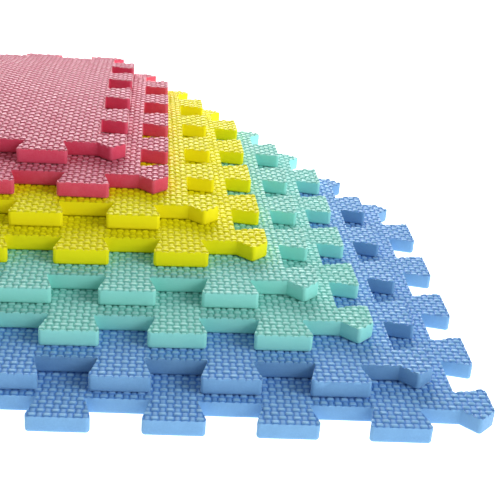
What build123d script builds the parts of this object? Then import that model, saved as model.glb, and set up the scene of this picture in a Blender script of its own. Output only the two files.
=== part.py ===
from build123d import *
import os

os.makedirs("parts", exist_ok=True)

# A pile of eight interlocking foam floor tiles, each laid a little further left and back
# than the tile beneath it.  The frame's origin is the middle of the bottom tile's underside,
# with +X to the right, +Y to the back and +Z up.  All lengths are millimetres.
# Behind and to the left of the bottom tile nothing holds the pile up, so there it sags.

# ---- driving dimensions ----
TILE_SIDE = 304.8        # square between the middle lines of the toothed edges, 12 inches
TILE_THICKNESS = 10.5    # underside to the tops of the embossed grains
TABS_PER_SIDE = 5        # dovetail tabs on every edge
TAB_DEPTH = 19.5         # from the floor of a notch to the tip of a tab
TAB_TIP_WIDTH = 35.2     # widest part of a tab, at its tip
TAB_NECK_WIDTH = 25.4    # narrowest part of a tab, at its root
SAG_RADIUS = 1200        # how the unsupported foam bends, at floor height

# ---- sizes that follow ----
TAB_PITCH = TILE_SIDE / TABS_PER_SIDE
HALF_SIDE = TILE_SIDE / 2
HALF_DEPTH = TAB_DEPTH / 2
HALF_TIP = TAB_TIP_WIDTH / 2
HALF_NECK = TAB_NECK_WIDTH / 2
FIRST_TAB_CENTRE = TAB_PITCH / 4    # a side opens with a tab and closes with a notch
SAG_START = HALF_SIDE + HALF_DEPTH  # the bottom tile's own edge
SAG_ANGLE = 18                      # degrees of bend, enough to pass the furthest corner
REACH = 420                         # further than any tile goes from the middle

# ---- how each tile lies: name, shift right, shift back, turn in degrees ----
PILE = [
    ("blue_tile_lower", 0, 0, 0),
    ("blue_tile_upper", -33, 25, 1.0),
    ("green_tile_lower", -65, 55, 1.5),
    ("green_tile_upper", -96, 85, 1.75),
    ("yellow_tile_lower", -128, 116, 2.5),
    ("yellow_tile_upper", -158, 148, 2.0),
    ("pink_tile_lower", -190, 174, 1.25),
    ("pink_tile_upper", -221, 205, 1.5),
]


def side_points():
    """One toothed side as (along, outward) pairs, from its first corner to just before the next."""
    points = [
        (0, 0),
        (HALF_DEPTH, HALF_DEPTH),
        (FIRST_TAB_CENTRE + HALF_TIP, HALF_DEPTH),
        (FIRST_TAB_CENTRE + HALF_NECK, -HALF_DEPTH),
    ]
    for tab in range(1, TABS_PER_SIDE):
        centre = FIRST_TAB_CENTRE + tab * TAB_PITCH
        points += [
            (centre - HALF_NECK, -HALF_DEPTH),
            (centre - HALF_TIP, HALF_DEPTH),
            (centre + HALF_TIP, HALF_DEPTH),
            (centre + HALF_NECK, -HALF_DEPTH),
        ]
    points.append((TILE_SIDE - HALF_DEPTH, -HALF_DEPTH))
    return points


def tile_outline():
    """The closed outline, four equal sides in turn, so that any side locks with any other."""
    outline = []
    for quarter in range(4):
        for along, outward in side_points():
            corner = Vector(HALF_SIDE + outward, along - HALF_SIDE, 0)
            turned = corner.rotate(Axis.Z, 90 * quarter)
            outline.append((turned.X, turned.Y))
    return outline


def sagging_layer(height):
    """The one-tile-thick layer at this height: flat over the bottom tile, sagging beyond it."""
    low, high = height, height + TILE_THICKNESS
    span = REACH + SAG_START
    flat = Pos(-SAG_START, SAG_START, low) * Box(
        span, span, TILE_THICKNESS, align=(Align.MIN, Align.MAX, Align.MIN)
    )
    # the bent strip's section, drawn upright with its straight end on the axis
    inner = CenterArc((0, -SAG_RADIUS), SAG_RADIUS + low, 90 - SAG_ANGLE, SAG_ANGLE)
    outer = CenterArc((0, -SAG_RADIUS), SAG_RADIUS + high, 90 - SAG_ANGLE, SAG_ANGLE)
    ends = [Line(inner @ 0, outer @ 0), Line(inner @ 1, outer @ 1)]
    strip = Plane.XZ * make_face([inner, outer, *ends])
    back = Pos(-SAG_START, SAG_START, 0) * Rot(0, 0, 90) * extrude(strip, amount=span, dir=(0, -1, 0))
    left = Pos(-SAG_START, SAG_START, 0) * Rot(0, 0, 180) * extrude(strip, amount=span, dir=(0, 1, 0))
    corner = Pos(-SAG_START, SAG_START, 0) * Rot(0, 0, 90) * revolve(strip, Axis.Z, 90)
    return flat + back + left + corner


def foam_tile(height, place):
    """One tile: the layer of foam at this height, cut through along the toothed outline."""
    profile = place * make_face(Polyline(*tile_outline(), close=True))
    cutter = extrude(profile, amount=2 * REACH, dir=(0, 0, 1), both=True)
    if height == 0:
        return extrude(profile, amount=TILE_THICKNESS, dir=(0, 0, 1))
    return (sagging_layer(height) & cutter).solid()


def main():
    for level, (name, shift_right, shift_back, turn) in enumerate(PILE):
        place = Location((shift_right, shift_back, 0), (0, 0, turn))
        tile = foam_tile(level * TILE_THICKNESS, place)
        tile.label = name
        export_step(tile, f"parts/{name}.step")


main()
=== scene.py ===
"""Studio scene of eight interlocking foam floor tiles in a leaning, staggered pile.

Each tile is made as the real one is: a foam sheet with a moulded woven grain on its upper face is
cut to the dovetailed outline by a die whose walls are a little rounded and uneven.
"""
import math

import bpy
import numpy as np
from mathutils import Matrix, Vector


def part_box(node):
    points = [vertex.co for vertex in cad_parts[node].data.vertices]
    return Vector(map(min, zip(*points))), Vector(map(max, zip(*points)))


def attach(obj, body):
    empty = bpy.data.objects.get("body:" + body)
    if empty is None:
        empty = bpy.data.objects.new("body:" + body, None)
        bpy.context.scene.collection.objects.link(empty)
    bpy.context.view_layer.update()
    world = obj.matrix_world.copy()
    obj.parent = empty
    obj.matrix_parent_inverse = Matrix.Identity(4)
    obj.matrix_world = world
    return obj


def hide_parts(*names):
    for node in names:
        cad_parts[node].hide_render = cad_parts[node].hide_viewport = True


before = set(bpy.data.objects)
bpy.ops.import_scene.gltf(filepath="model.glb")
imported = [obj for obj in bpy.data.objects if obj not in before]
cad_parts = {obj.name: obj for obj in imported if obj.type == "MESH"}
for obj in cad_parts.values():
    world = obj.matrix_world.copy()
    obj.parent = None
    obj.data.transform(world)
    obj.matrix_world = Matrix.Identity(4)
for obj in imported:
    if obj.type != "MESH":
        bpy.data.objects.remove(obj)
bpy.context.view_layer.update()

MM = 0.001

# the tile's outline, in millimetres, as the CAD part has it
SIDE, THICKNESS = 304.8, 10.5
TABS, TAB_DEPTH, TAB_TIP, TAB_NECK = 5, 19.5, 35.2, 25.4
PITCH = SIDE / TABS
TIP_RADIUS, NECK_RADIUS = 2.2, 1.0
ARC_SEGMENTS = 5
WALL_STEP = 4.0

# a corner that turns by less than about this many radians counts as straight, and a rounded one
# takes at most this share of the shorter run beside it
STRAIGHT = 0.05
REACH_SHARE = 0.45

# the die's wall from the underside up: height and how far it stands inside the outline
WALL = (
    (0.0, 1.05),
    (0.3, 0.45),
    (0.9, 0.10),
    (2.0, 0.0),
    (5.2, 0.05),
    (8.6, 0.0),
    (9.9, 0.10),
    (11.6, 0.55),
)
WALL_RIPPLE = 0.10
RIPPLE_PASSES = 3

# behind and to the left of the bottom tile the unsupported pile sags, as it does in the CAD part
SAG_RADIUS = 1200.0
SAG_START = (SIDE + TAB_DEPTH) / 2

# the moulded grain: short bars woven over and under each other in half-cell columns and rows
CELL = 8.0
COLUMN_HALF = CELL / 4
BAR_HALF = 1

# the grid lines of one column, from its middle: the two edges of the bar's flat top, then the gap's
GRAIN_LINES = (-0.9, 0.9, 1.6, 2.4)

# the relief's full height, and the height of each part of a bar as a share of it
GRAIN_HEIGHT = 1.0
OVER_CORE, OVER_END, OVER_RIM = 1.0, 0.85, 0.15
UNDER_CORE, UNDER_END = 0.62, 0.45

# how uneven the moulding is: the least random share of a height, and its lines' wander in millimetres
LOWEST_BAR = 0.88
LINE_WANDER = 0.05

# the uncut sheet's half side and its underside, and the angle above which an edge is shaded sharp
SHEET_HALF = 168.0
SHEET_BASE = -2.0
SHARP_ANGLE = 48

# each tile's seed is this plus its level in the pile
FIRST_SEED = 11

# name, colour family, turn in degrees, from the floor up
TILES = (
    ("blue_tile_lower", "blue", 0.0),
    ("blue_tile_upper", "blue", 1.0),
    ("green_tile_lower", "green", 1.5),
    ("green_tile_upper", "green", 1.75),
    ("yellow_tile_lower", "yellow", 2.5),
    ("yellow_tile_upper", "yellow", 2.0),
    ("pink_tile_lower", "pink", 1.25),
    ("pink_tile_upper", "pink", 1.5),
)

# linear colours: the foam's own, a deeper one for the painted shade in the grain's pits, and a paler
# one for the painted highlight, with a little wear, on the crowns
FOAM = {
    "blue": ((0.160, 0.350, 0.60), (0.060, 0.25, 0.76), (0.34, 0.67, 1.00)),
    "green": ((0.31, 0.82, 0.74), (0.09, 0.47, 0.40), (0.44, 0.86, 0.80)),
    "yellow": ((0.97, 0.89, 0.015), (0.68, 0.63, 0.00), (0.97, 0.93, 0.005)),
    "pink": ((0.74, 0.062, 0.135), (0.34, 0.004, 0.020), (0.88, 0.33, 0.46)),
}

# the colour of the bloom and the gloss that each foam shows at a low angle
BLOOM = {
    "blue": (0.85, 0.93, 1.0, 1),
    "green": (0.9, 1.0, 0.98, 1),
    "yellow": (1.0, 0.95, 0.02, 1),
    "pink": (1.0, 0.88, 0.92, 1),
}

# the foam's texture: noise scales per metre, where each effect starts and ends, and how much it shows
CLOUD_SCALE, PATCH_SCALE, CELL_SCALE = 14.0, 120.0, 1700.0
SAW_STRETCH = (60.0, 60.0, 2400.0)
SEED_SHIFT = (0.37, 0.21)
UPWARD = (0.25, 0.6)
# where the painted shade in the pits ends and the painted highlight on the crowns begins, and how much
# of this painted shade and highlight the upper face shows
PIT_SHARE, CROWN_MARGIN = 0.75, 0.1
PAINTED_GRAIN_SHADING = 0.7
WORN_POINTINESS = (0.515, 0.60)
EDGE_WEAR = 0.35
ROUGHNESS = (0.54, 0.70)
MOULDED_SMOOTHER = 0.08
SAW_WEIGHT, CELL_WEIGHT = 0.8, 0.5
BUMP_STRENGTH, BUMP_DISTANCE = 0.35, 0.00025

# the studio, in metres, watts and unitless strengths
FLOOR_HALF = 4
FLOOR_DROP = 0.0002
FLOOR_COLOURS = ((0.88, 0.885, 0.89, 1), (0.91, 0.91, 0.91, 1))
FLOOR_GLOW = 1.25
WORLD_STRENGTH = 0.32
LIGHT_AIM = (-0.08, 0.06, 0.04)

# name, place, size and power
LIGHTS = (
    ("key", (1.7, -1.1, 1.1), 1.2, 22),
    ("back", (-0.1, 2.0, 0.85), 1.7, 56),
)

# the camera, in metres, degrees and millimetres
CAMERA_AT = Vector((-0.0201, -0.6292, 0.3191))
CAMERA_TOWARDS = Vector((0.0315, 0.0079, 0.0337))
CAMERA_ROLL = 4.4
CAMERA_LENS, CAMERA_SENSOR = 75.7, 36
CAMERA_CLIP = 0.01


def side_points():
    """Corners along one side as (along, outward), starting at the side's first corner knob."""
    deep, tip, neck = TAB_DEPTH / 2, TAB_TIP / 2, TAB_NECK / 2
    first = PITCH / 4
    points = [(0, 0), (deep, deep), (first + tip, deep), (first + neck, -deep)]
    for tab in range(1, TABS):
        centre = first + tab * PITCH
        points += [(centre - neck, -deep), (centre - tip, deep)]
        points += [(centre + tip, deep), (centre + neck, -deep)]
    points.append((SIDE - deep, -deep))
    return points


def tile_corners():
    """Corners of the whole outline about the tile's middle, counter-clockwise."""
    corners = []
    for quarter in range(4):
        c, s = round(math.cos(quarter * math.pi / 2)), round(math.sin(quarter * math.pi / 2))
        for along, outward in side_points():
            x, y = SIDE / 2 + outward, along - SIDE / 2
            corners.append((c * x - s * y, s * x + c * y))
    return np.array(corners)


def rounded_outline(corners):
    """The outline with its corners rounded and its straight runs divided, and the outward normals."""
    points, normals = [], []
    count = len(corners)
    last = None
    for i in range(count):
        before, here, after = corners[i - 1], corners[i], corners[(i + 1) % count]
        a, b = before - here, after - here
        la, lb = np.linalg.norm(a), np.linalg.norm(b)
        a, b = a / la, b / lb
        turn = a[1] * b[0] - a[0] * b[1]
        if abs(turn) < STRAIGHT:
            continue
        convex = turn > 0
        radius = TIP_RADIUS if convex else NECK_RADIUS
        half = math.acos(np.clip(a @ b, -1, 1)) / 2
        reach = min(radius / math.tan(half), REACH_SHARE * min(la, lb))
        radius = reach * math.tan(half)
        middle = here + (a + b) / np.linalg.norm(a + b) * radius / math.sin(half)
        start, end = here + a * reach, here + b * reach
        out_start, out_end = (start - middle) / radius, (end - middle) / radius
        if last is not None:
            add_run(points, normals, last, start)
        for step in range(ARC_SEGMENTS + 1):
            t = step / ARC_SEGMENTS
            n = out_start * (1 - t) + out_end * t
            n /= np.linalg.norm(n)
            points.append(middle + n * radius)
            normals.append(n if convex else -n)
        last = end
    add_run(points, normals, last, points[0])
    return np.array(points), np.array(normals)


def add_run(points, normals, start, end):
    """Points along a straight run, without its two ends."""
    run = end - start
    length = np.linalg.norm(run)
    steps = int(length // WALL_STEP)
    normal = np.array((run[1], -run[0])) / length
    for k in range(1, steps):
        points.append(start + run * k / steps)
        normals.append(normal)


def mesh_from(name, vertices, faces):
    """A checked mesh from vertices and faces."""
    mesh = bpy.data.meshes.new(name)
    mesh.from_pydata([tuple(v) for v in vertices], [], faces)
    mesh.update()
    mesh.validate()
    return mesh


def die_mesh(rng):
    """The closed solid that the die cuts out: rounded below, a little uneven along its walls."""
    points, normals = rounded_outline(tile_corners())
    count = len(points)
    vertices = []
    for height, inset in WALL:
        ripple = rng.normal(0, 1, count)
        for _ in range(RIPPLE_PASSES):
            ripple = (np.roll(ripple, 1) + ripple + np.roll(ripple, -1)) / 3
        push = ripple * WALL_RIPPLE - inset
        ring = points + normals * push[:, None]
        vertices += [(x, y, height) for x, y in ring]
    faces = [tuple(reversed(range(count)))]
    for level in range(len(WALL) - 1):
        low, high = level * count, (level + 1) * count
        for i in range(count):
            j = (i + 1) % count
            faces.append((low + i, low + j, high + j, high + i))
    top = (len(WALL) - 1) * count
    faces.append(tuple(top + i for i in range(count)))
    return mesh_from("die", vertices, faces)


def grain_axis(shift):
    """The grid lines across the sheet: position, column, and distance from that column's middle."""
    half = CELL / 2
    first = math.floor(-SHEET_HALF / half)
    places, columns, offsets = [], [], []
    for column in range(first, -first + 1):
        for line in GRAIN_LINES:
            places.append(column * half + line + shift)
            columns.append(column if line < COLUMN_HALF else column + 1)
            offsets.append(line if line < COLUMN_HALF else line - half)
    return np.array(places), np.array(columns), np.array(offsets)


def sheet_mesh(rng):
    """The foam sheet: a closed slab whose upper face carries the woven grain."""
    xs, columns, across = grain_axis(rng.uniform(-COLUMN_HALF, COLUMN_HALF))
    ys, rows, along = grain_axis(rng.uniform(-COLUMN_HALF, COLUMN_HALF))
    gx, gy = np.meshgrid(xs, ys, indexing="ij")
    column, row = np.meshgrid(columns, rows, indexing="ij")
    off_x, off_y = np.meshgrid(across, along, indexing="ij")
    over = (column + row) % 2 == 0
    core_x, core_y = np.abs(off_x) < BAR_HALF, np.abs(off_y) < BAR_HALF
    bar = np.where(core_x, OVER_CORE, OVER_END)
    beside = np.where(core_x, OVER_RIM, 0.0)
    weft = np.where(core_y, bar, beside)
    warp = np.where(core_x, np.where(core_y, UNDER_CORE, UNDER_END), 0.0)
    height = GRAIN_HEIGHT * np.where(over, weft, warp) * rng.uniform(LOWEST_BAR, 1.0, gx.shape)
    gz = THICKNESS - GRAIN_HEIGHT + height
    gx = gx + rng.normal(0, LINE_WANDER, gx.shape)
    gy = gy + rng.normal(0, LINE_WANDER, gy.shape)
    nx, ny = gx.shape
    vertices = np.stack((gx, gy, gz), -1).reshape(-1, 3).tolist()
    ids = np.arange(nx * ny).reshape(nx, ny)
    quads = np.stack((ids[:-1, :-1], ids[1:, :-1], ids[1:, 1:], ids[:-1, 1:]), -1)
    faces = quads.reshape(-1, 4).tolist()
    rim = [*ids[:, 0], *ids[-1, 1:], *ids[-2::-1, -1], *ids[0, -2:0:-1]]
    base = len(vertices)
    vertices += [(vertices[i][0], vertices[i][1], SHEET_BASE) for i in rim]
    count = len(rim)
    for i in range(count):
        j = (i + 1) % count
        faces.append((int(rim[j]), int(rim[i]), base + i, base + j))
    faces.append(tuple(base + i for i in reversed(range(count))))
    return mesh_from("sheet", vertices, faces)


def sag(points):
    """Bends the pile's points, in millimetres, down where nothing holds them up."""
    left = np.maximum(0, -points[:, 0] - SAG_START)
    behind = np.maximum(0, points[:, 1] - SAG_START)
    bent = points.copy()
    bent[:, 2] = np.sqrt((SAG_RADIUS + points[:, 2]) ** 2 - left**2 - behind**2) - SAG_RADIUS
    return bent


def settle(mesh, middle, level, turn):
    """Lets the tile sag at its place in the pile.

    The mesh keeps its own frame, and its flat heights stay on it as the attribute relief.
    """
    c, s = math.cos(math.radians(turn)), math.sin(math.radians(turn))
    spin = np.array(((c, s, 0), (-s, c, 0), (0, 0, 1)))
    place = np.array((middle.x / MM, middle.y / MM, level * THICKNESS))
    flat = np.zeros(len(mesh.vertices) * 3, np.float32)
    mesh.vertices.foreach_get("co", flat)
    flat = flat.reshape(-1, 3)
    laid = flat @ spin + place
    settled = sag(laid) if level else laid
    own = (settled - place) @ spin.T * MM
    mesh.vertices.foreach_set("co", own.astype(np.float32).ravel())
    relief = mesh.attributes.new("relief", "FLOAT", "POINT")
    relief.data.foreach_set("value", flat[:, 2] * MM)
    mesh.update()


def cut_tile(name, seed):
    """One flat tile about its own middle, underside at zero, in millimetres."""
    rng = np.random.default_rng(seed)
    sheet = bpy.data.objects.new(name, sheet_mesh(rng))
    die = bpy.data.objects.new("die", die_mesh(rng))
    for o in (sheet, die):
        bpy.context.scene.collection.objects.link(o)
    cut = sheet.modifiers.new("cut", "BOOLEAN")
    cut.operation = "INTERSECT"
    cut.solver = "MANIFOLD"
    cut.object = die
    graph = bpy.context.evaluated_depsgraph_get()
    mesh = bpy.data.meshes.new_from_object(sheet.evaluated_get(graph))
    for o in (sheet, die):
        data = o.data
        bpy.data.objects.remove(o)
        bpy.data.meshes.remove(data)
    mesh.name = name
    mesh.materials.clear()
    for polygon in mesh.polygons:
        polygon.use_smooth = True
        polygon.material_index = 0
    mesh.set_sharp_from_angle(angle=math.radians(SHARP_ANGLE))
    tile = bpy.data.objects.new(name + "_foam", mesh)
    bpy.context.scene.collection.objects.link(tile)
    return tile


class Nodes:
    """Small helper for building a node tree."""

    def __init__(self, tree):
        self.tree = tree

    def feed(self, socket, value):
        """Links a socket to another, or sets its value."""
        if isinstance(value, bpy.types.NodeSocket):
            self.tree.links.new(value, socket)
        else:
            socket.default_value = value

    def add(self, kind, inputs=None, **settings):
        node = self.tree.nodes.new(kind)
        for key, value in settings.items():
            setattr(node, key, value)
        for key, value in (inputs or {}).items():
            self.feed(node.inputs[key], value)
        return node

    def noise(self, vector, scale, detail=2.0):
        inputs = {"Vector": vector, "Scale": scale, "Detail": detail}
        return self.add("ShaderNodeTexNoise", inputs).outputs["Fac"]

    def spread(self, value, low, high, to_low=0.0, to_high=1.0):
        inputs = {0: value, 1: low, 2: high, 3: to_low, 4: to_high}
        return self.add("ShaderNodeMapRange", inputs).outputs[0]

    def mix(self, factor, a, b):
        node = self.add("ShaderNodeMix", data_type="RGBA", blend_type="MIX")
        for key, value in ((0, factor), (6, a), (7, b)):
            self.feed(node.inputs[key], value)
        return node.outputs[2]

    def math(self, operation, a, b):
        return self.add("ShaderNodeMath", {0: a, 1: b}, operation=operation).outputs[0]


def foam_colour(n, family, top, clouds, patches, cells):
    """Painted shade deeper in the grain's pits and painted highlight, with a little wear, on the
    crowns; paler worn arrises, and faint variation all over.
    """
    base, deep, pale = ((*c, 1.0) for c in FOAM[family])
    level = n.add("ShaderNodeAttribute", attribute_name="relief").outputs["Fac"]
    pit_level = (THICKNESS - PIT_SHARE * GRAIN_HEIGHT) * MM
    crown_level = (THICKNESS - CROWN_MARGIN) * MM
    # painted shade in the pits and painted highlight on the crowns, by the height of the grain; the
    # upper face shows it, the cut walls keep the foam's own colour
    grain = n.mix(n.spread(level, pit_level, crown_level), deep, pale)
    colour = n.mix(n.math("MULTIPLY", top, PAINTED_GRAIN_SHADING), base, grain)
    colour = n.mix(n.spread(clouds, 0.35, 0.7, 0.0, 0.10), colour, deep)
    colour = n.mix(n.spread(patches, 0.4, 0.75, 0.0, 0.10), colour, pale)
    colour = n.mix(n.spread(cells, 0.45, 0.75, 0.0, 0.12), colour, pale)
    pointiness = n.add("ShaderNodeNewGeometry").outputs["Pointiness"]
    wear = n.spread(pointiness, *WORN_POINTINESS, 0.0, EDGE_WEAR)
    return n.mix(wear, colour, pale)


def foam_roughness(n, top, patches):
    """Uneven all over, and a little smoother on the moulded upper face than on the cut."""
    rough = n.spread(patches, 0.3, 0.7, *ROUGHNESS)
    return n.math("SUBTRACT", rough, n.math("MULTIPLY", top, MOULDED_SMOOTHER))


def foam_bump(n, shifted, top, cells):
    """Closed cells everywhere and faint saw lines along the cut walls."""
    stretched = n.add("ShaderNodeMapping", {"Vector": shifted, "Scale": SAW_STRETCH}).outputs[0]
    saw = n.noise(stretched, 1.0)
    wall = n.math("SUBTRACT", 1.0, top)
    lines = n.math("MULTIPLY", n.math("MULTIPLY", saw, wall), SAW_WEIGHT)
    relief = n.math("ADD", n.math("MULTIPLY", cells, CELL_WEIGHT), lines)
    inputs = {"Strength": BUMP_STRENGTH, "Distance": BUMP_DISTANCE, "Height": relief}
    return n.add("ShaderNodeBump", inputs).outputs[0]


def foam_material(name, family, seed):
    """Closed-cell foam, moulded above and cut at the sides."""
    material = bpy.data.materials.new(name)
    material.use_nodes = True
    tree = material.node_tree
    n = Nodes(tree)
    shader = tree.nodes["Principled BSDF"].inputs
    coordinates = n.add("ShaderNodeTexCoord")
    shift = (seed * SEED_SHIFT[0], seed * SEED_SHIFT[1], 0)
    inputs = {"Vector": coordinates.outputs["Object"], "Location": shift}
    shifted = n.add("ShaderNodeMapping", inputs).outputs[0]
    normal = n.add("ShaderNodeSeparateXYZ", {0: coordinates.outputs["Normal"]})
    top = n.spread(normal.outputs[2], *UPWARD)
    clouds = n.noise(shifted, CLOUD_SCALE, 3.0)
    patches = n.noise(shifted, PATCH_SCALE, 3.0)
    cells = n.noise(shifted, CELL_SCALE)
    n.feed(shader["Base Color"], foam_colour(n, family, top, clouds, patches, cells))
    n.feed(shader["Roughness"], foam_roughness(n, top, patches))
    n.feed(shader["Normal"], foam_bump(n, shifted, top, cells))
    shader["Sheen Weight"].default_value = 0.75
    shader["Sheen Roughness"].default_value = 0.25
    shader["Sheen Tint"].default_value = BLOOM[family]
    shader["Specular IOR Level"].default_value = 0.3
    shader["Specular Tint"].default_value = BLOOM[family]
    return material


def floor_material():
    """Plain pale floor, bright enough to read as white."""
    material = bpy.data.materials.new("floor")
    material.use_nodes = True
    tree = material.node_tree
    n = Nodes(tree)
    shader = tree.nodes["Principled BSDF"].inputs
    place = n.add("ShaderNodeTexCoord").outputs["Object"]
    tint = n.spread(n.noise(place, 3.0), 0.3, 0.7)
    n.feed(shader["Base Color"], n.mix(tint, *FLOOR_COLOURS))
    shader["Roughness"].default_value = 0.9
    shader["Specular IOR Level"].default_value = 0.1
    shader["Emission Color"].default_value = (1, 1, 1, 1)
    shader["Emission Strength"].default_value = FLOOR_GLOW
    return material


def place_tiles():
    """Cuts the eight tiles and gives each its place, its foam and its body."""
    for level, (name, family, turn) in enumerate(TILES):
        tile = cut_tile(name, FIRST_SEED + level)
        low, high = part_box(name)
        middle = (low + high) / 2
        settle(tile.data, middle, level, turn)
        tile.matrix_world = (
            Matrix.Translation((middle.x, middle.y, level * THICKNESS * MM))
            @ Matrix.Rotation(math.radians(turn), 4, "Z")
        )
        tile.data.materials.append(foam_material(f"{name}_foam", family, level + 1))
        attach(tile, name)
        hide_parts(name)


def add_floor():
    """A square floor just under the pile."""
    h = FLOOR_HALF
    mesh = mesh_from("floor", [(-h, -h, 0), (h, -h, 0), (h, h, 0), (-h, h, 0)], [(0, 1, 2, 3)])
    floor = bpy.data.objects.new("floor", mesh)
    bpy.context.scene.collection.objects.link(floor)
    floor.data.materials.append(floor_material())
    floor.location.z = -FLOOR_DROP


def add_area_light(name, at, size, power):
    """A soft round light that faces the pile."""
    light = bpy.data.lights.new(name, "AREA")
    light.shape = "DISK"
    light.size = size
    light.energy = power
    lamp = bpy.data.objects.new(name, light)
    bpy.context.scene.collection.objects.link(lamp)
    lamp.location = at
    aim = Vector(LIGHT_AIM) - Vector(at)
    lamp.rotation_euler = aim.to_track_quat("-Z", "Y").to_euler()


def add_lights():
    """An even pale surrounding and the area lights."""
    world = bpy.data.worlds.new("studio")
    bpy.context.scene.world = world
    world.use_nodes = True
    background = world.node_tree.nodes["Background"]
    background.inputs["Color"].default_value = (1.0, 1.0, 1.0, 1)
    background.inputs["Strength"].default_value = WORLD_STRENGTH
    for name, at, size, power in LIGHTS:
        add_area_light(name, at, size, power)


def add_camera():
    """A long lens that looks down on the pile's front right, rolled a little."""
    data = bpy.data.cameras.new("camera")
    data.lens = CAMERA_LENS
    data.sensor_width = CAMERA_SENSOR
    data.clip_start = CAMERA_CLIP
    camera = bpy.data.objects.new("camera", data)
    bpy.context.scene.collection.objects.link(camera)
    look = (CAMERA_TOWARDS - CAMERA_AT).to_track_quat("-Z", "Y").to_matrix().to_4x4()
    roll = Matrix.Rotation(math.radians(CAMERA_ROLL), 4, "Z")
    camera.matrix_world = Matrix.Translation(CAMERA_AT) @ look @ roll
    bpy.context.scene.camera = camera


add_camera()
place_tiles()
add_floor()
add_lights()
bpy.context.scene.view_settings.view_transform = "Standard"
